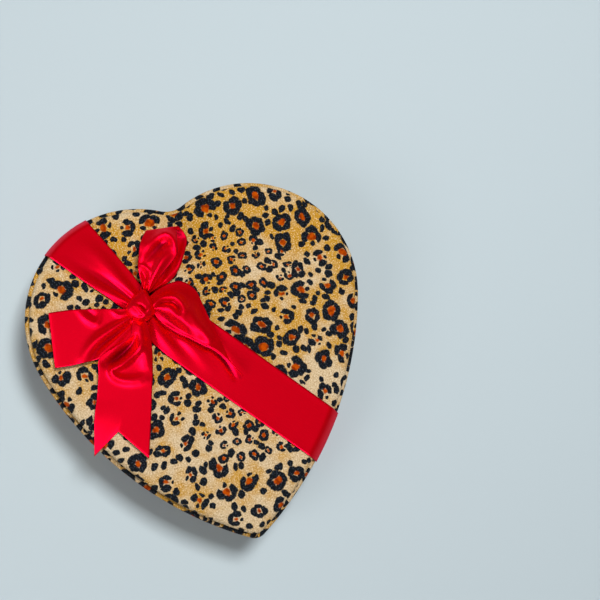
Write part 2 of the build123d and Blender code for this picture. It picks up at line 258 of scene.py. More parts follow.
# %% Leopard print
ring_spacing = 0.0119
fine_ring_spacing = 0.0065
ring_share = 0.25
blots_round_ring = 4
closed_share = 0.8
ring_scatter = 0.34
ring_stretch = (0.88, 1.16)
ring_size = (0.78, 1.1)
blot_depth = (0.12, 0.175)
blot_width = (1.2, 0.5)
blot_shift = 0.03
blot_edge = (0.88, 1.14)
rust_edge = (-0.15, -0.09)
gap_depth_share = 0.5
dice_scale = 91.7
dot_spacing = 0.0045
dot_scatter = 0.8
dot_clearance = 0.47
dot_stretch = (0.8, 1.25)
dot_size = (0.28, 0.44)
dot_edge = 0.04
dense_fields = [
    ((0.003, 0.049, 0), 0.016),
    ((0.02, 0.042, 0), 0.02),
    ((0.036, 0.041, 0), 0.013),
    ((0.008, -0.031, 0), 0.02),
]


def in_dense_field(tree, place):
    """1 where a place lies in one of the dense fields, and 0 elsewhere."""
    found = 0
    for centre, reach in dense_fields:
        away = vector_maths(tree, "LENGTH", vector_maths(tree, "SUBTRACT", place, centre))
        found = maths(tree, "MAXIMUM", found, maths(tree, "LESS_THAN", away, reach))
    return found


def warped(tree, place, scale, amount, detail):
    """Bends coordinates by noise, by up to about half of amount each way."""
    shift = vector_maths(tree, "SUBTRACT", noise(tree, place, scale, detail, "Color"), (0.5, 0.5, 0.5))
    return vector_maths(tree, "ADD", place, vector_maths(tree, "SCALE", shift, amount))


def cells(tree, place, spacing, randomness, feature="F1"):
    """Voronoi cells: the place inside a cell in cell widths, three dice, and the node's outputs."""
    node = tree.nodes.new("ShaderNodeTexVoronoi")
    node.voronoi_dimensions = "2D"
    node.feature = feature
    feed(tree, node.inputs["Vector"], place)
    node.inputs["Scale"].default_value = 1 / spacing
    node.inputs["Randomness"].default_value = randomness
    inside = vector_maths(tree, "SUBTRACT", place, node.outputs["Position"])
    dice = tree.nodes.new("ShaderNodeSeparateColor")
    tree.links.new(node.outputs["Color"], dice.inputs[0])
    return vector_maths(tree, "SCALE", inside, 1 / spacing), dice.outputs, node.outputs


def oval(tree, inside, turn, stretch):
    """Turns and stretches the place inside a cell: its two sides and its distance."""
    turned = tree.nodes.new("ShaderNodeVectorRotate")
    turned.rotation_type = "Z_AXIS"
    feed(tree, turned.inputs["Vector"], inside)
    feed(tree, turned.inputs["Angle"], maths(tree, "MULTIPLY", turn, 2 * pi))
    sides = tree.nodes.new("ShaderNodeSeparateXYZ")
    feed(tree, sides.inputs[0], turned.outputs[0])
    along = maths(tree, "MULTIPLY", sides.outputs[0], stretch)
    across = maths(tree, "DIVIDE", sides.outputs[1], stretch)
    return along, across, longest_side(tree, along, across)


def longest_side(tree, along, across):
    """Distance from two sides at right angles."""
    squares = [maths(tree, "POWER", side, 2) for side in (along, across)]
    return maths(tree, "SQRT", maths(tree, "ADD", *squares))


def ring_masks(tree, inside, dice):
    """Where one ring is dark and where it is rust."""
    stretch = spread(tree, dice[1], 0, 1, *ring_stretch, smooth=False)
    along, across, radius = oval(tree, inside, dice[0], stretch)
    turns = maths(tree, "ADD", maths(tree, "ARCTAN2", across, along), pi)
    part = maths(tree, "MULTIPLY", turns, blots_round_ring / (2 * pi))
    index = maths(tree, "FLOOR", part)
    swing = maths(tree, "SUBTRACT", maths(tree, "SUBTRACT", part, index), 0.5)
    swing = maths(tree, "MULTIPLY", swing, 2 * pi / blots_round_ring)

    key = tree.nodes.new("ShaderNodeCombineXYZ")
    feed(tree, key.inputs[0], maths(tree, "MULTIPLY", dice[2], dice_scale))
    feed(tree, key.inputs[1], index)
    blot_dice = tree.nodes.new("ShaderNodeTexWhiteNoise")
    blot_dice.noise_dimensions = "2D"
    feed(tree, blot_dice.inputs["Vector"], key.outputs[0])
    blot = blot_dice.outputs["Value"]
    second_dice = tree.nodes.new("ShaderNodeSeparateColor")
    tree.links.new(blot_dice.outputs["Color"], second_dice.inputs[0])

    size = spread(tree, dice[2], 0.1, 0.9, *ring_size, smooth=False)
    ring = maths(tree, "MULTIPLY", size, ring_share)
    gap = maths(tree, "GREATER_THAN", blot, closed_share)
    deep = spread(tree, blot, 0, closed_share, *blot_depth, smooth=False)
    deep = maths(tree, "MULTIPLY", size, deep)
    deep = maths(tree, "MULTIPLY", deep, spread(tree, gap, 0, 1, 1, gap_depth_share))
    wide = maths(tree, "MULTIPLY", spread(tree, gap, 0, 1, *blot_width), pi / blots_round_ring)
    shift = spread(tree, second_dice.outputs[1], 0, 1, -blot_shift, blot_shift, smooth=False)
    out = maths(tree, "SUBTRACT", maths(tree, "SUBTRACT", radius, ring), shift)
    reach = longest_side(tree, maths(tree, "DIVIDE", out, deep), maths(tree, "DIVIDE", swing, wide))
    dark = spread(tree, reach, *blot_edge, 1, 0)
    rust = spread(tree, maths(tree, "SUBTRACT", radius, ring), *rust_edge, 1, 0)
    return dark, rust


def ring_layer(tree, place, spacing, wanted):
    """Rings at one spacing, kept where their own centre is in the wanted kind of field."""
    masks = []
    for feature in ("F1", "F2"):
        inside, dice, cell = cells(tree, place, spacing, ring_scatter, feature)
        kept = maths(tree, "COMPARE", in_dense_field(tree, cell["Position"]), wanted, 0.5)
        masks.append([maths(tree, "MULTIPLY", mask, kept) for mask in ring_masks(tree, inside, dice)])
    return [maths(tree, "MAXIMUM", *pair) for pair in zip(*masks)]


def leopard_masks(tree, place):
    """Where the cloth is dark and where it is rust, each from 0 to 1."""
    slow = warped(tree, place, scale=15, amount=0.006, detail=0)
    lumpy = warped(tree, slow, scale=230, amount=0.002, detail=1)
    lumpy = warped(tree, lumpy, scale=900, amount=0.0006, detail=1)
    even = warped(tree, slow, scale=420, amount=0.0011, detail=1)
    large = ring_layer(tree, lumpy, ring_spacing, wanted=0)
    fine = ring_layer(tree, even, fine_ring_spacing, wanted=1)
    dark, rust = (maths(tree, "MAXIMUM", *pair) for pair in zip(large, fine))

    ragged = warped(tree, slow, scale=420, amount=0.0014, detail=2)
    inside, dice, dot_cell = cells(tree, ragged, dot_spacing, dot_scatter)
    stretch = spread(tree, dice[2], 0, 1, *dot_stretch, smooth=False)
    reach = oval(tree, inside, dice[0], stretch)[2]
    centre = dot_cell["Position"]
    kept = 1
    for spacing, wanted in ((ring_spacing, 0), (fine_ring_spacing, 1)):
        ring_cell = cells(tree, centre, spacing, ring_scatter)[2]
        away = maths(tree, "GREATER_THAN", ring_cell["Distance"], dot_clearance)
        drawn = maths(tree, "COMPARE", in_dense_field(tree, ring_cell["Position"]), wanted, 0.5)
        free = maths(tree, "MAXIMUM", away, maths(tree, "SUBTRACT", 1, drawn))
        kept = maths(tree, "MULTIPLY", kept, free)
    size = spread(tree, dice[1], 0, 1, *dot_size, smooth=False)
    dot = spread(tree, maths(tree, "SUBTRACT", reach, size), -dot_edge, dot_edge, 1, 0)
    return maths(tree, "MAXIMUM", dark, maths(tree, "MULTIPLY", dot, kept)), rust


gold, cream = srgb(198, 144, 40), srgb(213, 186, 146)
deep_rust, bright_rust = srgb(140, 46, 0), srgb(190, 76, 0)
# Painted light for the pile grain: a shade colour deep in the pile, a pale sheen on the tips, and a bluish
# sheen on the tips over the dark spots.
pile_root_shade, pile_tip_sheen = srgb(128, 84, 28), srgb(240, 224, 190)
black_root, black_tip_sheen = srgb(17, 20, 25), srgb(68, 78, 90)
pile_grain = 1500
pile_depth = 0.0004


def leopard_plush():
    """Short-pile plush with the leopard print."""
    material, tree, shader = new_material("leopard_plush")
    place = tree.nodes.new("ShaderNodeTexCoord").outputs["UV"]
    dark, rust = leopard_masks(tree, place)
    flat = tree.nodes.new("ShaderNodeSeparateXYZ")
    tree.links.new(place, flat.inputs[0])
    wide, close = noise(tree, place, 22), noise(tree, place, 120)
    tone = maths(tree, "ADD", maths(tree, "MULTIPLY", wide, 0.6), maths(tree, "MULTIPLY", close, 0.4))
    tone = maths(tree, "ADD", tone, spread(tree, flat.outputs[1], -0.07, 0.03, 0.04, -0.05))
    ground = blend(tree, spread(tree, tone, 0.36, 0.62), gold, cream)
    patches = noise(tree, place, 420, 3)
    centre = blend(tree, spread(tree, patches, 0.35, 0.65), deep_rust, bright_rust)
    # Painted light in the pile grain, partly the pile's own uneven tone: a fine noise puts sheen on some
    # specks and shade on others.
    pile = noise(tree, place, pile_grain)
    lit = maths(tree, "MULTIPLY", spread(tree, pile, 0.54, 0.7), 0.6)
    deep = maths(tree, "MULTIPLY", spread(tree, pile, 0.3, 0.46, 1, 0), 0.45)
    ground = blend(tree, lit, blend(tree, deep, ground, pile_root_shade), pile_tip_sheen)
    # The dark spots get the same painted sheen on their lit specks.
    colour = blend(tree, dark, ground, blend(tree, lit, black_root, black_tip_sheen))
    colour = blend(tree, rust, colour, centre)
    tree.links.new(colour, shader.inputs["Base Color"])
    shader.inputs["Roughness"].default_value = 0.92
    shader.inputs["Specular IOR Level"].default_value = 0.04
    shader.inputs["Sheen Weight"].default_value = 0.02
    bump(tree, shader, pile, 0.35, pile_depth)
    return material


plush = leopard_plush()
print("plush nodes:", len(plush.node_tree.nodes))

# %% [markdown]
# ## Satin
#
# Satin floats its threads over one another, so it is smooth along the ribbon and shines in
# bands. A plain glossy red would get white highlights. This shader is a deep red, partly
# metallic, so that its highlights take the colour of the cloth, with a pink tint where it is
# seen at a slant. The highlight is drawn out along the ribbon by the UV map. A thin firm edge
# runs down each side, and a very fine bump breaks the shine up as the weave does. Shade is
# also painted into the folds: each ribbon piece stores how deep in a hollow its points lie,
# and the red is darkened there as painted shade.

# %% Red satin
thread_red, float_red = srgb(232, 0, 0), srgb(238, 0, 2)
# The second colour here is painted shade: the darker red put into the creases of the folds.
selvedge_red, crease_shade_red = srgb(150, 0, 4), srgb(120, 0, 0)
slant_pink = srgb(255, 40, 200)
selvedge_edge = (0.478, 0.488)
thread_grain = (40, 120, 1)
weave_grain = 2000
weave_depth = 0.0001


def red_satin():
    """Red satin ribbon. U runs along the ribbon and V across it."""
    material, tree, shader = new_material("red_satin")
    place = tree.nodes.new("ShaderNodeTexCoord").outputs["UV"]
    sides = tree.nodes.new("ShaderNodeSeparateXYZ")
    tree.links.new(place, sides.inputs[0])
    from_edge = maths(tree, "ABSOLUTE", maths(tree, "SUBTRACT", sides.outputs[1], 0.5))
    selvedge = spread(tree, from_edge, *selvedge_edge)
    stretched = vector_maths(tree, "MULTIPLY", place, thread_grain)
    threads = noise(tree, stretched, 1, 3)
    red = blend(tree, spread(tree, threads, 0.3, 0.7), thread_red, float_red)
    red = blend(tree, maths(tree, "MULTIPLY", selvedge, 0.5), red, selvedge_red)
    # Painted shade: the red is darkened where a point lies deep in a crease of the folds.
    crease_shade = tree.nodes.new("ShaderNodeAttribute")
    crease_shade.attribute_name = "crease_shade"
    red = blend(tree, maths(tree, "MULTIPLY", crease_shade.outputs["Fac"], 0.85), red, crease_shade_red)
    tree.links.new(red, shader.inputs["Base Color"])
    space = tree.nodes.new("ShaderNodeTexCoord").outputs["Object"]
    weave = noise(tree, space, weave_grain, 1, dimensions="3D")
    bump(tree, shader, weave, 0.25, weave_depth)
    shader.inputs["Roughness"].default_value = 0.41
    shader.inputs["Metallic"].default_value = 0.6
    shader.inputs["IOR"].default_value = 1.5
    shader.inputs["Specular IOR Level"].default_value = 1
    shader.inputs["Specular Tint"].default_value = slant_pink
    shader.inputs["Anisotropic"].default_value = 0.3
    tangent = tree.nodes.new("ShaderNodeTangent")
    tangent.direction_type = "UV_MAP"
    tree.links.new(tangent.outputs[0], shader.inputs["Tangent"])
    return material


satin = red_satin()
print("satin nodes:", len(satin.node_tree.nodes))

# %% [markdown]
# ## The heart outline
#
# Every layer of the box is the same heart drawn in by a few millimetres. It could be one curve
# drawn by hand, but arcs with the radii of the boards keep every layer parallel: tip, long
# side, lobe and cleft. Each arc always gets the same number of points, so loops at different
# insets line up point for point and can be joined into a wall.

# %% Draw the heart
lid_low, lid_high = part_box("lid_rim_fabric")
heart_width = lid_high.x - lid_low.x
heart_length = lid_high.y - lid_low.y
lobe_radius = 52.5 * MM
side_radius = 170 * MM
tip_radius = 6.5 * MM
cleft_radius = 12 * MM
least_tip_radius = 1.2 * MM
tip_steps, side_steps, lobe_steps, cleft_steps = 8, 56, 84, 8

lobe_x = heart_width / 2 - lobe_radius
lobe_y = heart_length / 2 - lobe_radius
cleft_y = lobe_y + sqrt((lobe_radius + cleft_radius) ** 2 - lobe_x**2)
tip_y = tip_radius - heart_length / 2
centre_span = hypot(lobe_x, lobe_y - tip_y)
lobe_reach = side_radius - lobe_radius
tip_reach = side_radius - tip_radius
side_along = (lobe_reach**2 - tip_reach**2 + centre_span**2) / (2 * centre_span)
side_across = sqrt(lobe_reach**2 - side_along**2)
side_x = lobe_x - (side_along * lobe_x + side_across * (lobe_y - tip_y)) / centre_span
side_y = lobe_y - (side_along * (lobe_y - tip_y) - side_across * lobe_x) / centre_span


def heart_loop(inset):
    """Points round the heart drawn in by inset, counter-clockwise from the tip, without a repeat."""
    tip_arc = max(tip_radius - inset, least_tip_radius)
    side_arc = side_radius - inset
    tip_arc_y = side_y - sqrt((side_arc - tip_arc) ** 2 - side_x**2)
    side_start = atan2(tip_arc_y - side_y, -side_x)
    lobe_start = atan2(lobe_y - side_y, lobe_x - side_x)
    cleft_start = atan2(lobe_y - cleft_y, lobe_x)
    arcs = (
        ((0, tip_arc_y), tip_arc, -pi / 2, side_start, tip_steps),
        ((side_x, side_y), side_arc, side_start, lobe_start, side_steps),
        ((lobe_x, lobe_y), lobe_radius - inset, lobe_start, cleft_start + pi, lobe_steps),
        ((0, cleft_y), cleft_radius + inset, cleft_start, -pi / 2, cleft_steps),
    )
    right = []
    for (x, y), radius, start, end, steps in arcs:
        for step in range(steps):
            angle = start + (end - start) * step / steps
            right.append((x + radius * cos(angle), y + radius * sin(angle)))
    cleft_bottom = (0, cleft_y - cleft_radius - inset)
    left = [(-x, y) for x, y in reversed(right[1:])]
    return right + [cleft_bottom] + left


outline = heart_loop(0)
outline_steps = [hypot(b[0] - a[0], b[1] - a[1]) for a, b in zip(outline, outline[1:] + outline[:1])]

# %% [markdown]
# ## Bending a grid
#
# A strip of plush, a padded panel and a ribbon are all sheets. A cloth simulation could drape
# them, but it would settle where it likes, and these have to lie where the photograph shows
# them. So each starts as a flat grid primitive, and a short formula says where the corner at
# (u, v) of the grid goes. A strip that comes back round to its start is closed by merging the
# two ends.

# %% Bend and thicken a grid


def bent_grid(name, u_steps, v_steps, place, material, uv=None, closed=False):
    """A grid primitive whose point (u, v), each from 0 to 1, is moved to place(u, v)."""
    bpy.ops.mesh.primitive_grid_add(x_subdivisions=u_steps, y_subdivisions=v_steps, size=1)
    piece = bpy.context.object
    piece.name = name
    mesh = piece.data
    flat = [(vertex.co.x + 0.5, vertex.co.y + 0.5) for vertex in mesh.vertices]
    if uv:
        layer = mesh.uv_layers.active.data
        for loop in mesh.loops:
            layer[loop.index].uv = uv(*flat[loop.vertex_index])
    for vertex, (u, v) in zip(mesh.vertices, flat):
        vertex.co = place(u, v)
    if closed:
        bpy.ops.object.mode_set(mode="EDIT")
        bpy.ops.mesh.select_all(action="SELECT")
        bpy.ops.mesh.remove_doubles(threshold=1e-6)
        bpy.ops.object.mode_set(mode="OBJECT")
    mesh.materials.append(material)
    bpy.ops.object.shade_smooth()
    return piece


def thicken(piece, thickness, offset=0.0):
    """Gives a sheet its thickness with an applied Solidify modifier."""
    solidify = piece.modifiers.new("thickness", "SOLIDIFY")
    solidify.thickness = thickness
    solidify.offset = offset
    solidify.use_even_offset = True
    bpy.context.view_layer.objects.active = piece
    bpy.ops.object.modifier_apply(modifier=solidify.name)


def face_outwards(piece):
    """Makes every face of a closed piece point outwards."""
    bpy.context.view_layer.objects.active = piece
    bpy.ops.object.mode_set(mode="EDIT")
    bpy.ops.mesh.select_all(action="SELECT")
    bpy.ops.mesh.normals_make_consistent(inside=False)
    bpy.ops.object.mode_set(mode="OBJECT")


def through(points, share):
    """A smooth curve through points, at a share from 0 to 1 of their count."""
    spot = min(max(share, 0), 1) * (len(points) - 1)
    index = min(int(spot), len(points) - 2)
    t = spot - index
    p1, p2 = points[index], points[index + 1]
    p0 = points[index - 1] if index > 0 else p1 * 2 - p2
    p3 = points[index + 2] if index + 2 < len(points) else p2 * 2 - p1
    return (
        p1 * 2
        + (p2 - p0) * t
        + (p0 * 2 - p1 * 5 + p2 * 4 - p3) * t**2
        + (p1 * 3 - p0 - p2 * 3 + p3) * t**3
    ) / 2


print("bending tools ready")

# %% [markdown]
# ## Plush round the rim
#
# A strip of plush is glued round the skirt. It turns in over the bottom edge and over the top
# edge, where the padded panel covers its end. It could be the outline extruded upwards, but a
# grid carries a UV map in metres for the print. The grid runs round the heart in u and over the
# strip in v, from the inside of the skirt, under it, up the outside and over the top.

# %% Rim strip
rim_top = lid_high.z
skirt_low = lid_low.z
plush_thickness = 0.9 * MM
half_plush = plush_thickness / 2
inner_inset = 3.05 * MM
turn_in = 10 * MM
turn_over = 8 * MM
rim_round = 1.3 * MM
hem_round = 0.6 * MM
rim_print_shift = 0.3
corner_steps = 6


def corner(inset, z, start, end, radius):
    """Points of a rounded corner of the strip's section, as (inset, z)."""
    angles = [radians(start + (end - start) * k / corner_steps) for k in range(corner_steps + 1)]
    return [Vector((inset - radius * cos(a), z + radius * sin(a))) for a in angles]


low = skirt_low + half_plush
top = rim_top - half_plush
section = [Vector((inner_inset, low + turn_in))]
section += corner(inner_inset - hem_round, low + hem_round, 180, 270, hem_round)
section += corner(half_plush + hem_round, low + hem_round, 270, 360, hem_round)
section += [Vector((half_plush, low + (top - low) * k / 8)) for k in range(2, 7)]
section += corner(half_plush + rim_round, top - rim_round, 0, 90, rim_round)
section += [Vector((turn_over * share + half_plush, top)) for share in (0.4, 0.7, 1)]
section_steps = [(b - a).length for a, b in zip(section, section[1:])]
section_loops = [heart_loop(spot.x) for spot in section]
outline_count = len(outline)
run_along = [sum(outline_steps[:k]) for k in range(outline_count + 1)]
run_across = [sum(section_steps[:k]) for k in range(len(section))]


def rim_place(u, v):
    """Where the strip's point at u round the heart and v over its section goes."""
    row = round(v * (len(section) - 1))
    x, y = section_loops[row][round(u * outline_count) % outline_count]
    return Vector((x, y, section[row].y))


def rim_uv(u, v):
    """Metres along and across the strip, in a part of the print that the panel doesn't use."""
    row = round(v * (len(section) - 1))
    return run_along[round(u * outline_count)], run_across[row] + rim_print_shift


rim_rows = len(section) - 1
rim = bent_grid("rim_plush", outline_count, rim_rows, rim_place, plush, rim_uv, closed=True)
thicken(rim, plush_thickness)
face_outwards(rim)
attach(rim, "lid")
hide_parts("lid_rim_fabric")

# %% [markdown]
# ## Padded panel
#
# The panel is a card heart with a foam pad, and plush drawn over both. Its edge bulges a little
# past its foot, and its top is slightly crowned. A filled outline with a bevel would be flat on
# top, so the grid runs round the heart in u and, in v, from the hidden underside over the edge
# in rings to the middle, where the height is free. The ribbon presses the pad down a little
# along its way.

# %% Panel
panel_low, panel_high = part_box("lid_panel_fabric")
panel_inset = 2.3 * MM
crown_fall = 1 * MM
crown_reach = hypot(lobe_x, lobe_y) + lobe_radius
panel_middle = Vector((0, 4 * MM))
knot_low, knot_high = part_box("bow_knot")
knot = (knot_low + knot_high) / 2
upper_heading = radians(-57)
lower_heading = radians(-50.1)
upper_run = Vector((cos(upper_heading), sin(upper_heading)))
lower_run = Vector((cos(lower_heading), sin(lower_heading)))
ribbon_width = 25 * MM
press_depth = 0.35 * MM
press_softness = 1.2 * MM
edge_settle = 0.35 * MM

edge_section = [
    Vector((panel_inset + 7 * MM, 0.2 * MM)),
    Vector((panel_inset + 1.6 * MM, 0.2 * MM)),
    Vector((panel_inset + 0.5 * MM, 0.5 * MM)),
    Vector((panel_inset + 0.1 * MM, 1.3 * MM)),
    Vector((panel_inset, 2.3 * MM)),
    Vector((panel_inset + 0.25 * MM, 3.2 * MM)),
    Vector((panel_inset + 0.9 * MM, 4 * MM)),
    Vector((panel_inset + 1.9 * MM, 4.55 * MM)),
    Vector((panel_inset + 3.4 * MM, 4.85 * MM)),
]
edge_loops = [heart_loop(spot.x) for spot in edge_section]
inward_rings = 30


def crowned(x, y):
    """Height of the panel's crowned top, pressed down a little under the ribbon."""
    fall = crown_fall * (x * x + y * y) / crown_reach**2
    run = lower_run if (x - knot.x) * lower_run.x + (y - knot.y) * lower_run.y > 0 else upper_run
    beside = abs((y - knot.y) * run.x - (x - knot.x) * run.y)
    press = press_depth / (1 + exp((beside - ribbon_width / 2) / press_softness))
    return panel_high.z - fall - press


panel_rows = len(edge_section) + inward_rings


def panel_place(u, v):
    """Where the panel's point goes: over its edge first, then in rings to the middle."""
    row = round(v * panel_rows)
    spot = round(u * outline_count) % outline_count
    if row < len(edge_section):
        x, y = edge_loops[row][spot]
        lift = edge_section[row].y / edge_section[-1].y
        return Vector((x, y, panel_low.z + lift * (crowned(x, y) - panel_low.z - edge_settle)))
    share = (row - len(edge_section) + 1) / (inward_rings + 1)
    rim_spot = Vector(edge_loops[-1][spot])
    x, y = rim_spot.lerp(panel_middle, share)
    settle = edge_settle * (1 - min(share * 6, 1)) ** 2
    return Vector((x, y, crowned(x, y) - settle))


panel = bent_grid("panel_plush", outline_count, panel_rows, panel_place, plush, closed=True)
panel_layer = panel.data.uv_layers.active.data
for loop in panel.data.loops:
    panel_layer[loop.index].uv = panel.data.vertices[loop.vertex_index].co.xy
face_outwards(panel)
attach(panel, "lid")
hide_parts("lid_panel_fabric", "lid_panel_pad")
print("panel", len(panel.data.polygons), "faces")

# %% [markdown]
# ## Folds in satin
#
# A ribbon that is tied shows ridges and hollows that run out from the knot. They could be
# sculpted by hand, but lines with typed places can be laid on the creases of the photograph
# one at a time. A fold here is a smooth line on the lid through a few stations. Each station
# has its place, the fold's width there and its height: narrow and sharp at the knot, wide and
# low where the fold dies away. A hollow is a fold with a negative height.

# %% Fold lines
fold_samples = 16
ribbon_thickness = 0.24 * MM
# Depth of a crease, in millimetres, at which its painted shade is full.
full_shade_depth = 2.4


def fold(*stations):
    """A smooth fold line through stations of (x, y, width, height), in millimetres."""
    points = [Vector(station) for station in stations]
    return [through(points, k / fold_samples) for k in range(fold_samples + 1)]


def fold_height(x, y, folds):
    """Sum of all folds at a place on the lid, in millimetres."""
    total = 0
    spot = Vector((x, y))
    for line in folds:
        nearest, width, height = 1e9, 1, 0
        for start, end in zip(line, line[1:]):
            step = end.xy - start.xy
            share = min(max((spot - start.xy).dot(step) / step.length_squared, 0), 1)
            distance = (spot - start.xy - step * share).length
            if distance < nearest:
                here = start.lerp(end, share)
                nearest, width, height = distance, here.z, here.w
        total += height * exp(-((nearest / width) ** 2))
    return total


def crease(spot, folds):
    """Height of all folds, in millimetres, at a place given in metres."""
    return fold_height(spot.x / MM, spot.y / MM, folds)


def paint_crease_shade(piece, folds):
    """Paints shade into the creases: how deep in a hollow each point lies, from 0 to 1, darkens the red."""
    crease_shade = piece.data.attributes.new("crease_shade", "FLOAT", "POINT")
    for entry, vertex in zip(crease_shade.data, piece.data.vertices):
        height = crease(vertex.co, folds)
        entry.value = min(max(-height / full_shade_depth, 0), 1)


def finish_ribbon(piece, node, folds):
    """Painted crease shade, thickness and body of one ribbon piece."""
    # Painted shade for the creases of this piece.
    paint_crease_shade(piece, folds)
    thicken(piece, ribbon_thickness)
    face_outwards(piece)
    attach(piece, "lid")
    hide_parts(node)
    print(piece.name, "faces:", len(piece.data.polygons))


# %% [markdown]
# ## Ribbon across the lid
#
# The ribbon runs across the lid, over the rim and down the skirt on both sides. At the knot it
# is gathered to about half its width. A straight strip with a Shrinkwrap modifier would follow
# every dip of the plush, and a tight ribbon doesn't. So the grid has u along the ribbon and v
# across it, and each lane finds where it crosses the rim, slopes down to it, and then goes down.
# Below the right tail, the far edge is drawn up a little.

# %% Band
band_lift = 0.35 * MM
upper_shoulder, lower_shoulder = 3.5 * MM, 6 * MM
shoulder_drop = 6.5 * MM
upper_gather, upper_waist_share = 50 * MM, 0.48
lower_gather, lower_waist_share = 24 * MM, 0.8
edge_lift, lift_middle, lift_reach = 2.4 * MM, 34 * MM, 22 * MM
deepest_crease = -0.3 * MM
bend_reach = 12 * MM
skirt_clearance = 0.45 * MM
farthest_lane, halvings = 0.2, 30
band_steps = 180
drop_steps = 14
arc_steps = 10
lane_steps = band_steps + 2 * (drop_steps + arc_steps)
band_lanes = 28


def gathered(along):
    """Share of the ribbon's width at a distance along it from the knot."""
    reach, waist = upper_gather, upper_waist_share
    if along > 0:
        reach, waist = lower_gather, lower_waist_share
    share = min(abs(along) / reach, 1)
    return waist + (1 - waist) * share * (1.2 - 0.2 * share)


def inside_outline(x, y):
    """True where a place lies within the lid's outline."""
    hits = False
    for (x1, y1), (x2, y2) in zip(outline, outline[1:] + outline[:1]):
        if (y1 > y) != (y2 > y) and x < x1 + (y - y1) / (y2 - y1) * (x2 - x1):
            hits = not hits
    return hits


def lane_spot(along, offset):
    """Place in plan on the ribbon, which bends a little at the knot."""
    run = lower_run if along > 0 else upper_run
    turn = min(abs(along) / bend_reach, 1)
    run = (lower_run + upper_run).normalized().lerp(run, turn)
    return knot.xy + run * along + Vector((-run.y, run.x)) * offset


def crossing(offset, way):
    """How far along, towards way, a lane at this sideways offset leaves the lid."""
    low_reach, high_reach = 0.0, farthest_lane
    for _ in range(halvings):
        middle = (low_reach + high_reach) / 2
        spot = lane_spot(way * middle, offset)
        if inside_outline(*spot):
            low_reach = middle
        else:
            high_reach = middle
    return way * low_reach


band_folds = [
    fold((-27.5, 42, 1.4, 1.3), (-32, 50, 2.4, 1.1), (-38, 62, 3.4, 0.7), (-46, 74, 4, 0)),
    fold((-29.5, 40.5, 0.8, -1.2), (-36, 48.5, 1.4, -1.2), (-45, 58, 2, -0.3), (-56, 70, 2, 0)),
    fold((-31, 38.6, 1, 1.2), (-38, 45, 2, 1.2), (-52, 58, 3, 0)),
    fold(
        (-22.4, 28.4, 1.6, 1), (-20.6, 21.6, 2.6, 1.3), (-17, 14, 3, 1.1), (-12.6, 6, 3.4, 0.5),
        (-8, -1, 3.6, 0),
    ),
    fold((-18, 23, 1.6, -0.5), (-14.6, 15.6, 2, -0.7), (-11, 9, 2.4, -0.4), (-7, 2, 3, 0)),
    fold((-10.6, 15.6, 2, 0.7), (-7.8, 10.6, 2.6, 0.9), (-4, 3.2, 3, 0.5), (0, -4, 3, 0)),
    fold((-19, 26, 0.8, -0.6), (-12.4, 19, 1, -1.2), (-6.8, 14.2, 1, -1.6), (-1, 9, 1, -1.8)),
    fold((-0.2, 9.4, 0.8, -1.4), (4.9, 2.6, 0.9, -2.2), (6.9, -3.4, 0.9, -2), (8.4, -10, 0.8, 0)),
]


def band_top(along, offset):
    """Place of a lane on top of the lid. Below the right tail the far edge is drawn up a little."""
    narrow = gathered(along)
    spot = lane_spot(along, offset * narrow)
    fade = exp(-(((along - lift_middle) / lift_reach) ** 2))
    drawn_up = edge_lift * (offset / ribbon_width + 0.5) * fade
    rise = max(crease(spot, band_folds) * MM + drawn_up, deepest_crease)
    return Vector((spot.x, spot.y, crowned(*spot) + press_depth * 0.5 + band_lift + rise))


lane_ends = {}


def band_place(u, v):
    """A lane goes up the skirt, over the rim, across the lid, over the rim and down."""
    offset = (v - 0.5) * ribbon_width
    key = round(v, 5)
    if key not in lane_ends:
        lane_ends[key] = crossing(offset, -1), crossing(offset, 1)
    step = round(u * lane_steps)
    flat_step = step - drop_steps - arc_steps
    start, end = lane_ends[key]
    if 0 <= flat_step <= band_steps:
        share = flat_step / band_steps
        first, last = start + upper_shoulder, end - lower_shoulder
        return band_top(first + (last - first) * share, offset)
    way = -1 if flat_step < 0 else 1
    edge, reach = (start, upper_shoulder) if way < 0 else (end, lower_shoulder)
    shoulder = band_top(edge - way * reach, offset)
    wall = lane_spot(edge + way * skirt_clearance, offset)
    over = -flat_step if way < 0 else flat_step - band_steps
    if over <= arc_steps:
        share = over / arc_steps
        flat = shoulder.xy.lerp(wall, share)
        return Vector((flat.x, flat.y, shoulder.z - shoulder_drop * share**1.8))
    fall = (over - arc_steps) / drop_steps
    top_z = shoulder.z - shoulder_drop
    return Vector((wall.x, wall.y, top_z + (skirt_low - top_z) * fall))


band = bent_grid("ribbon_across_lid", lane_steps, band_lanes, band_place, satin)
finish_ribbon(
    band, "ribbon_band", band_folds
)

# %% [markdown]
# ## Tails and loops of the bow
#
# Each bow piece is drawn by its two edges: a few places along the ribbon, each with a point on
# the one edge and on the other, read off the photograph and given a height above the lid. A
# bevelled curve would keep one width all along, and a tied ribbon is narrow at the knot. A smooth
# curve joins the places, the grid fills the ribbon between, and the folds add the creases that
# run out of the knot. The first piece is the tail below the knot, with its V-shaped end.

# %% Bottom tail

def ribbon_surface(stations, arch=None, folds=(), end=None):
    """place(u, v) for a ribbon between two edges. arch(u, v) adds height in millimetres."""

    def place(u, v):
        lane = [mm(*a).lerp(mm(*b), v) for a, b in stations]
        if end:
            lane.append(end(v))
        spot = through(lane, u)
        lift = arch(u, v) if arch else 0
        lift += crease(spot, folds)
        return spot + Vector((0, 0, lift * MM))

    return place


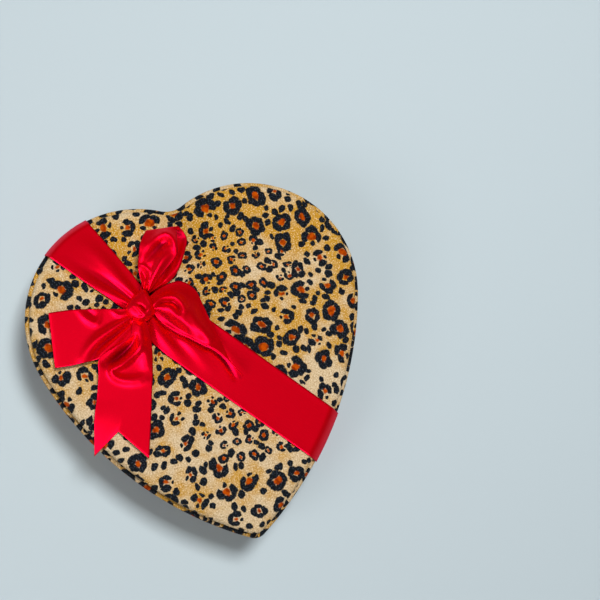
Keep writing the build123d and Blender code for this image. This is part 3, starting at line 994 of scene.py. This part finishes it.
tail_stations = (
    ((-30.6, 31.5, 44), (-25.6, 30.5, 44)),
    ((-32, 27.4, 45), (-25.2, 25.5, 44)),
    ((-34.3, 22.9, 45), (-25.2, 20.5, 43.6)),
    ((-41.5, 20.3, 44.4), (-25.8, 15, 43)),
    ((-49.8, 17.2, 43.4), (-26.8, 10, 42.4)),
    ((-52.2, 10, 42.2), (-28.2, 4.5, 41.8)),
    ((-55.4, 0, 41.4), (-30.6, -3.5, 41.3)),
    ((-58.9, -9.2, 41), (-33.2, -12.4, 41)),
)
tail_tip_left = mm(-63.2, -25.6, 37)
tail_tip_right = mm(-39.6, -33.2, 41)
tail_notch = mm(-49.9, -17.4, 41)
tail_folds = [
    fold(
        (-28.6, 19.4, 1.6, 0.8), (-33, 15.4, 1.8, 2.2), (-37.2, 13.3, 1.8, 2.8), (-41.7, 11.4, 1.7, 2.8),
        (-45.4, 10.6, 1.5, 2.4), (-46, 8.6, 1.5, 2.2), (-44.2, 6, 1.7, 2.2), (-40, 3.9, 2, 2),
        (-34, 3, 2.4, 1.4), (-29.6, 3.6, 2.6, 0.6),
    ),
    fold(
        (-31.6, 22.4, 1, -1), (-34.4, 19.6, 1.7, -2.6), (-39, 16.8, 2.2, -3.2), (-43.6, 14.8, 2, -2.6),
        (-47.6, 13.6, 1.8, -1),
    ),
    fold((-28.6, 26, 1.8, 1.4), (-30, 19, 3, 2), (-29.6, 14, 3.2, 2), (-30, 8.6, 3, 1.2)),
]


def tail_end(v):
    """The V-shaped cut at the end of the tail."""
    if v < 0.5:
        return tail_tip_left.lerp(tail_notch, v * 2)
    return tail_notch.lerp(tail_tip_right, v * 2 - 1)


tail_surface = ribbon_surface(tail_stations, folds=tail_folds, end=tail_end)
tail = bent_grid("bow_tail_below", 110, 48, tail_surface, satin)
finish_ribbon(
    tail, "bow_bottom_tail", tail_folds
)

# %% [markdown]
# The right tail arches up from the knot and comes down on its edge, as a blade over the ribbon.
# Seen from above it hides part of its own width. It could be cut to the width that shows, but
# then it would be a thinner ribbon. So the shown part goes from edge to edge of the outline in
# the photograph, and the rest of the width is tucked in below it.

# %% Right tail
arch_stations = (
    ((-21.2, 38.6, 44), (-20.8, 31.5, 44)),
    ((-16.5, 41, 43.2), (-19.6, 28, 42.8)),
    ((-10.4, 42.7, 42), (-16.7, 23.6, 42.6)),
    ((-4.6, 42.2, 41.4), (-11.7, 19.4, 42.8)),
    ((0.4, 37, 41.2), (-8.6, 16.8, 43)),
    ((2.2, 29, 41.2), (-6.2, 14.8, 43.2)),
    ((3.4, 21.6, 42.6), (-3.4, 12.4, 43.8)),
    ((4.9, 14, 43.2), (-0.4, 9.7, 45)),
    ((6.1, 7.6, 43.6), (3.4, 6, 45.8)),
    ((7.5, 0.2, 43.8), (7.2, -0.1, 45.4)),
    ((11.5, -7.7, 42.8), (11.4, -7.9, 43.2)),
)
arch_folds = [
    fold(
        (-20.5, 34, 0.9, 0.8), (-17.1, 36.4, 1.2, 2), (-13.4, 36.8, 1.5, 2.4), (-9.7, 35.7, 1.6, 2.4),
        (-7.8, 32.8, 1.6, 2.2), (-7.1, 29.4, 1.6, 1.6), (-8.4, 27, 1.8, 0.6),
    ),
    fold((-19.3, 33.4, 0.8, -1), (-15.9, 34.4, 1, -1.6), (-12.6, 33.8, 1.1, -1.4)),
    fold((-11.2, 33.2, 1.1, -1.4), (-9.6, 30.6, 1.2, -1.8), (-10, 28, 1.2, -0.8)),
    fold((-13.6, 31.4, 1.6, 0.8), (-12, 27.4, 2, 1.2), (-8.6, 22, 2.2, 1.4), (-5.6, 15.6, 1.8, 0.8)),
    fold((-19, 31, 1, -0.8), (-15.9, 26.7, 1.6, -1.2), (-12.6, 22.2, 1.6, -1), (-8.7, 18.7, 1.4, -0.4)),
    fold((-20.9, 36, 0.8, 0.8), (-17.3, 38.8, 1, 0.9), (-13.1, 41, 1.2, 0)),
]
arch_height = 5.5
shown_share = 0.7
tuck_share, tuck_drop = 0.45, 0.8 * MM


def arch_rise(u, v):
    """The ribbon is full near the knot and flattens to a blade at its end."""
    return arch_height * sin(pi * v**1.4) ** 1.6 * sin(pi * min(u * 1.3 + 0.08, 1)) ** 0.8


arch_surface = ribbon_surface(arch_stations, arch_rise, arch_folds)


def arch_place(u, v):
    """The shown part goes from edge to edge. The rest of the width is tucked in below it."""
    if v <= shown_share:
        return arch_surface(u, v / shown_share)
    tuck = (v - shown_share) / (1 - shown_share)
    edge = arch_surface(u, 1)
    inward = arch_surface(u, 1 - tuck_share * tuck**1.6)
    inward.z = min(edge.z, inward.z) - tuck_drop * min(tuck * 4, 1)
    return inward


arch = bent_grid("bow_tail_right", 110, 60, arch_place, satin)
finish_ribbon(arch, "bow_right_tail", arch_folds)

# %% [markdown]
# A loop goes out, turns over and comes back. It could be two pieces, joined at the turn. Here
# its stations simply go on round the turn, so one grid makes both layers without a seam. The
# upper loop is open and stands up from the lid.

# %% Upper loop
upper_stations = (
    ((-22.8, 43, 45), (-20.5, 41, 45)),
    ((-23, 48.5, 45.2), (-16.1, 44.7, 46.8)),
    ((-22.6, 53.5, 46), (-11.1, 48.4, 49)),
    ((-21, 58.5, 47), (-4.5, 53.6, 51)),
    ((-19, 63.4, 47.6), (-3, 59.4, 51.4)),
    ((-15, 68.6, 45), (-0.6, 66.7, 48.4)),
    ((-15.4, 67, 42.6), (2.5, 60.6, 44.6)),
    ((-17.6, 60, 41.4), (-1.4, 52.6, 43.8)),
    ((-20, 52, 41.4), (-4.6, 47.8, 43.2)),
    ((-23, 46, 42), (-9.7, 43.7, 42.6)),
    ((-25, 41, 42.4), (-19.6, 40.4, 42.4)),
)
upper_folds = [
    fold(
        (-21.2, 52, 1.6, 0.5), (-19.4, 55, 2.6, 1.2), (-15.8, 59, 2.8, 1.6), (-11.6, 62.4, 2.4, 2.1),
        (-8, 64.6, 2, 2.5), (-5.4, 63.1, 1.8, 2.4), (-4.4, 59.6, 1.6, 2), (-4.6, 55.6, 1.2, 0.8),
    ),
    fold((-18.8, 54.6, 1.4, -1), (-15.2, 57.6, 2.4, -2.4), (-10.5, 60.6, 2.6, -3), (-7.6, 60.2, 1.7, -1.4)),
    fold((-21.4, 43, 0.8, 1), (-16.5, 47.7, 1.6, 2.2), (-11.2, 52.8, 2.2, 2.2), (-7, 55, 2, 0.8)),
    fold((-22.1, 53.7, 0.8, 0.5), (-20, 52.3, 0.8, 0.9), (-18.4, 49.9, 0.8, 0.9), (-18.6, 47.6, 0.8, 0.4)),
    fold((-20.4, 46.8, 0.9, -1), (-21.1, 50.2, 1, -0.8)),
    fold((-1.8, 65.8, 0.9, -0.8), (-0.2, 63.4, 1.6, -1.8), (1.2, 61, 1.2, -1)),
]
back_folds = [
    fold((1.6, 60, 1, 0.6), (-2.4, 52.6, 1.3, 1.4), (-5.6, 48.2, 1.3, 1.2), (-11, 44.4, 1.4, 0.6)),
]
puff_height, puff_end = 0.6, 0.6
pleat_count = 2.6
turn_share = 0.58
front_fade, back_fade = 0.08, 0.1


def pleats(u, v, height, reach):
    """Height in millimetres of the pleats that run out of the knot and die away at reach."""
    fade = max(0, 1 - u / reach) ** 1.4
    wave = sin(2 * pi * pleat_count * v + 0.6)
    wave += 0.35 * sin(2 * pi * (pleat_count + 1.3) * v + 2)
    return height * fade * wave


def upper_rise(u, v):
    """The front layer is puffed up between its edges, and both ends are pleated at the knot."""
    puff = puff_height * sin(pi * v) * sin(pi * min(u / puff_end, 1))
    return puff + pleats(u, v, 0.6, 0.25) + pleats(1 - u, v, 0.9, 0.4)


upper_surface = ribbon_surface(upper_stations, upper_rise)


def upper_place(u, v):
    """The front layer has its own folds, and the back layer a single one."""
    front = max(0, min((turn_share - u) / front_fade, 1))
    back = max(0, min((u - turn_share) / back_fade, 1))
    spot = upper_surface(u, v)
    lift = crease(spot, upper_folds) * front
    lift += crease(spot, back_folds) * back
    return spot + Vector((0, 0, lift * MM))


upper = bent_grid("bow_loop_upper", 120, 40, upper_place, satin)
finish_ribbon(
    upper, "bow_upper_loop", upper_folds
)

# %% [markdown]
# The left loop is made in the same way, but it is pressed flat, with a square end. Its two layers
# lie one to three millimetres apart, and only the front one shows folds.

# %% Left loop
left_stations = (
    ((-32, 35.6, 44), (-30, 28, 43)),
    ((-36.5, 36.8, 44), (-33, 22.5, 42.8)),
    ((-42, 38.3, 43.6), (-40.5, 18.2, 42.6)),
    ((-50, 40.3, 43.1), (-50, 16.8, 42.5)),
    ((-58, 41.9, 42.7), (-60, 16.9, 42.4)),
    ((-65.6, 42.8, 42.4), (-68.8, 17.7, 42.2)),
    ((-66.7, 42.9, 41.6), (-69.9, 17.9, 41.4)),
    ((-65.6, 42.8, 41), (-68.8, 17.7, 41)),
    ((-58, 42, 40.8), (-60, 16.9, 40.8)),
    ((-46, 39.4, 40.8), (-46, 18.6, 40.8)),
    ((-33, 35.4, 41.6), (-33, 31, 41.6)),
)
left_folds = [
    fold((-31.8, 31.4, 0.9, 1.8), (-40.4, 28.6, 1.8, 2.4), (-49, 25, 2.4, 2), (-56.5, 18.5, 2.8, 0.8)),
    fold((-32.3, 29.4, 0.7, -1.2), (-41.3, 25.4, 1.2, -2.4), (-49.6, 21.6, 1.6, -2), (-54, 17, 2, -0.6)),
    fold((-32.8, 27.4, 0.8, 0.6), (-40.5, 23.1, 1.4, 1), (-47, 19.6, 1.8, 0.8), (-51, 15.6, 2, 0.4)),
    fold((-54, 41, 1.2, 0.3), (-50.6, 35.3, 1.5, 1), (-47.2, 33, 1.5, 1), (-44.4, 37.4, 1.2, 0.3)),
    fold((-49.5, 39, 1.4, -0.8), (-47.6, 36.4, 1.4, -0.5)),
    fold((-39, 36.4, 0.9, 0.3), (-36.5, 33.8, 1, 0.9), (-33.2, 33.6, 0.8, 0.6)),
]
left_surface = ribbon_surface(left_stations)
left_turn, left_fade = 0.5, 0.12


def left_place(u, v):
    """The folds are on the front layer only."""
    front = max(0, min((left_turn - u) / left_fade, 1))
    spot = left_surface(u, v)
    return spot + Vector((0, 0, crease(spot, left_folds) * front * MM))


left = bent_grid("bow_loop_left", 120, 48, left_place, satin)
finish_ribbon(
    left, "bow_left_loop", left_folds
)

# %% [markdown]
# ## Knot
#
# The knot is the ribbon drawn tight over itself. It is a soft lump with one large smooth face to
# the left and a curl in the middle, where the ribbon turns in. A ribbon wound round a core would
# hide nearly all of its turns, so only the outside is made. The grid runs round the knot in u
# and from its foot to its crown in v.

# %% Knot wrap
knot_outline = [
    (-22.4, 43), (-25.6, 42), (-28.9, 40.4), (-31.6, 38), (-33.4, 35.4), (-32.4, 32),
    (-30, 29.6), (-27, 28), (-23.6, 28.6), (-20.6, 30.8), (-20, 34), (-20.8, 38.6),
]
knot_crown = mm(-25.4, 35, 47.8)
knot_tilt = Vector((0.11, -0.15))
foot_lift = 0.4
knot_folds = [
    fold((-22.9, 42.6, 0.8, 0.4), (-22, 38.9, 0.9, 0.8), (-21.5, 35.4, 0.8, 0.6)),
    fold((-28.8, 36.4, 0.6, 0.3), (-27.6, 35.3, 0.7, 1), (-26.5, 32.8, 0.7, 1.1), (-25.3, 30.7, 0.7, 0.6)),
    fold((-27, 36.2, 0.6, -0.3), (-25.9, 34.8, 0.8, -1.3), (-24.8, 32.8, 0.7, -1)),
    fold((-21.2, 34.9, 0.8, 0.4), (-22.6, 33, 0.9, 0.8), (-24.4, 31.8, 0.8, 0.5)),
    fold((-30.6, 30.4, 0.8, 0.2), (-27.6, 29.9, 0.8, 0.7), (-24.8, 30.2, 0.8, 0.5)),
]
knot_foot = [mm(x, y, knot_low.z / MM + foot_lift) for x, y in knot_outline]


def knot_place(u, v):
    """From the foot over to the crown."""
    ring = knot_foot + knot_foot[:3]
    foot = through(ring, ((u % 1) * len(knot_foot) + 1) / (len(ring) - 1))
    share = v**1.5
    spot = foot.lerp(knot_crown, share)
    top_z = knot_crown.z + knot_tilt.dot(spot.xy - knot_crown.xy)
    spot.z = foot.z + (top_z - foot.z) * (1 - (1 - share) ** 3.4) ** 0.3
    return spot + Vector((0, 0, crease(spot, knot_folds) * min(v * 2, 1) * MM))


knot_piece = bent_grid("bow_knot_wrap", 120, 44, knot_place, satin, closed=True)
finish_ribbon(knot_piece, "bow_knot", knot_folds)

# %% [markdown]
# ## Boards, paper and chocolate
#
# The stiff CAD pieces keep their shapes and get finishes of their own: grey chipboard, red
# paper, gold card, brown cup paper and chocolate. One flat colour would look like plastic, so
# each is two close tones of one colour, mixed by a fine noise, with a light bump of the same
# noise.

# %% Finishes for the CAD pieces


def plain_finish(name, first, second, scale, roughness, grain=0.0002, metallic=0.0):
    """A two-tone grained finish on Object coordinates, with a light bump."""
    material, tree, shader = new_material(name)
    place = tree.nodes.new("ShaderNodeTexCoord").outputs["Object"]
    tone = noise(tree, place, scale, 4, dimensions="3D")
    colour = blend(tree, spread(tree, tone, 0.35, 0.65), first, second)
    tree.links.new(colour, shader.inputs["Base Color"])
    shader.inputs["Roughness"].default_value = roughness
    shader.inputs["Metallic"].default_value = metallic
    bump(tree, shader, tone, 0.2, grain)
    return material


finishes = {
    "chipboard": plain_finish("grey_chipboard", srgb(150, 143, 132), srgb(172, 165, 152), 900, 0.9),
    "red_paper": plain_finish("red_paper", srgb(168, 16, 30), srgb(180, 22, 36), 700, 0.55),
    "foam": plain_finish("wadding", srgb(236, 232, 222), srgb(246, 244, 238), 500, 0.95),
    "gold_card": plain_finish("gold_card", srgb(206, 160, 82), srgb(222, 180, 104), 600, 0.35, metallic=0.8),
    "cup_paper": plain_finish("brown_cup_paper", srgb(66, 36, 22), srgb(84, 48, 30), 900, 0.7),
    "chocolate": plain_finish("chocolate", srgb(78, 38, 24), srgb(92, 48, 30), 260, 0.38),
    "pad_paper": plain_finish("pad_paper", srgb(238, 230, 212), srgb(248, 242, 228), 800, 0.8),
    "plush": plush,
    "satin": satin,
}
node_slots = {entry["node"]: entry["material_slot"] for entry in frame["record"]["subparts"]}
for name, node in frame["nodes"].items():
    if not node.material_slots:
        node.data.materials.append(None)
    for entry in node.material_slots:
        entry.material = finishes[node_slots[name]]
print("finished nodes:", len(frame["nodes"]))

# %% [markdown]
# ## Pad over the chocolates
#
# A soft paper pad keeps the chocolates still. It is two sheets round thin wadding, embossed with
# a diamond pattern that holds them together. A bump in the material would leave its outline and
# its mesh flat, so the pattern is in the points: it is pressed into both faces and fades out at
# the edge. The grid runs round the heart in u, and in v from the middle of the underside, round
# the edge, to the middle of the top.

# %% Chocolate pad
pad_low, pad_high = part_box("cushion_pad")
pad_inset = (heart_width - (pad_high.x - pad_low.x)) / 2
pad_half = (pad_high.z - pad_low.z) / 2
pad_rings = 44
pad_edge_steps = 10
emboss_spacing = 18 * MM
emboss_depth = 1.1 * MM
emboss_fade = 7 * MM
pad_rows = 2 * pad_rings + pad_edge_steps


def emboss(x, y):
    """How far the paper is pressed in at a place: it stays full in the middle of each diamond."""
    puff = 1
    for way in (1, -1):
        puff *= abs(sin(pi * (x + way * y) / emboss_spacing))
    return emboss_depth * (1 - sqrt(puff))


def pad_place(u, v):
    """Underside from the middle outwards, then the round edge, then the top inwards."""
    spot = round(u * outline_count) % outline_count
    row = round(v * pad_rows) - pad_rings
    over_edge = min(max(row / pad_edge_steps, 0), 1)
    turn = pi * (over_edge - 0.5)
    x, y = heart_rows[round(over_edge * pad_edge_steps)][spot]
    inward = max(-row, row - pad_edge_steps, 0) / pad_rings
    flat = Vector((x, y)).lerp(panel_middle, inward)
    distance = (flat - Vector((x, y))).length
    press = emboss(flat.x, flat.y) * min(distance / emboss_fade, 1)
    height = sin(turn) * (pad_half - press)
    return Vector((flat.x, flat.y, (pad_low.z + pad_high.z) / 2 + height))


heart_rows = [
    heart_loop(pad_inset + pad_half * (1 - cos(pi * (k / pad_edge_steps - 0.5))))
    for k in range(pad_edge_steps + 1)
]
pad_paper = finishes["pad_paper"]
pad = bent_grid("chocolate_pad", outline_count, pad_rows, pad_place, pad_paper, closed=True)
face_outwards(pad)
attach(pad, "cushion")
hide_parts("cushion_pad")
print("pad faces:", len(pad.data.polygons))

# %% [markdown]
# ## Chocolates
#
# About half of the chocolates are smooth balls with a zigzag of white chocolate run over them.
# Lines painted in a material would lie flat, and poured chocolate stands up. So the zigzag is
# a bevelled curve laid on the ball and made a mesh. The tops of the balls are found in the CAD
# meshes.

# %% White drizzle
seat_share = 0.68
drizzle_radius = 0.55 * MM
drizzle_passes = 7
drizzle_steps = 24
drizzle_span, drizzle_swing, drizzle_start = 1.3, 0.72, 0.4


def ball_tops(node):
    """The highest point of each ball in a CAD node, and the radius of the balls."""
    low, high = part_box(node)
    points = [frame["nodes"][node].matrix_world @ v.co for v in frame["nodes"][node].data.vertices]
    tops = {(round(p.x, 4), round(p.y, 4)): p for p in points if high.z - p.z < 1e-5}
    return [tops[key] for key in sorted(tops)], (high.z - low.z) / (1 + seat_share)


def join(name, pieces):
    """Joins pieces into one object with this name."""
    bpy.ops.object.select_all(action="DESELECT")
    for piece in pieces:
        piece.select_set(True)
    bpy.context.view_layer.objects.active = pieces[0]
    bpy.ops.object.join()
    bpy.context.object.name = name
    bpy.ops.object.select_all(action="DESELECT")
    return bpy.context.view_layer.objects.active


def drizzle(top, radius):
    """A zigzag over the top of one ball, as a mesh with its points in the shared frame."""
    curve = bpy.data.curves.new("drizzle", "CURVE")
    curve.dimensions = "3D"
    curve.bevel_depth = drizzle_radius
    curve.use_fill_caps = True
    spline = curve.splines.new("POLY")
    count = drizzle_passes * drizzle_steps
    spline.points.add(count)
    for step, point in enumerate(spline.points):
        across = (step / count - 0.5) * drizzle_span
        swing = sqrt(1 - across**2) * drizzle_swing
        swing *= sin(pi * step / drizzle_steps + drizzle_start)
        rise = sqrt(1 - across**2 - swing**2)
        point.co = (*(top + radius * Vector((across, swing, rise - 1))), 1)
    line = bpy.data.objects.new("drizzle", curve)
    bpy.context.collection.objects.link(line)
    bpy.context.view_layer.objects.active = line
    line.select_set(True)
    bpy.ops.object.convert(target="MESH")
    bpy.ops.object.shade_smooth()
    line.select_set(False)
    return line


bonbon_tops, bonbon_radius = ball_tops("striped_bonbons")
lines = join("bonbon_drizzle", [drizzle(top, bonbon_radius) for top in bonbon_tops])
white_chocolate = plain_finish("white_chocolate", srgb(232, 210, 168), srgb(240, 222, 186), 300, 0.4)
lines.data.materials.append(white_chocolate)
face_outwards(lines)
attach(lines, "chocolates")
print("drizzled bonbons:", len(bonbon_tops), "radius", round(bonbon_radius, 4))

# %% [markdown]
# The other chocolates are truffles, rolled by hand and dusted with cocoa, so they aren't quite
# round. A Displace modifier could do it, but it would push the flat foot out too. Each is an
# icosphere whose points are moved in and out by noise, and then held above the foot.

# %% Rolled truffles
lump_size, lump_height = 4 * MM, 0.3 * MM
grit_size, grit_height = 0.9 * MM, 0.12 * MM


def truffle(top, radius):
    """One hand-rolled ball with a flat foot."""
    bpy.ops.mesh.primitive_ico_sphere_add(subdivisions=6, radius=radius)
    ball = bpy.context.object
    centre = top - Vector((0, 0, radius))
    for vertex in ball.data.vertices:
        spot = centre + vertex.co
        push = lump_height * (random_field.noise(spot / lump_size) - 0.4)
        push += grit_height * random_field.noise(spot / grit_size)
        spot += vertex.co.normalized() * push
        spot.z = max(spot.z, centre.z - radius * seat_share)
        vertex.co = spot
    ball.location = (0, 0, 0)
    bpy.ops.object.shade_smooth()
    return ball


truffle_tops, truffle_radius = ball_tops("truffles")
rolled = join("rolled_truffles", [truffle(top, truffle_radius) for top in truffle_tops])
cocoa = plain_finish("cocoa_dust", srgb(62, 34, 22), srgb(104, 66, 44), 1400, 0.9, grain=0.0004)
rolled.data.materials.append(cocoa)
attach(rolled, "chocolates")
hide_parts("truffles")
print("truffles:", len(truffle_tops), "faces:", len(rolled.data.polygons))
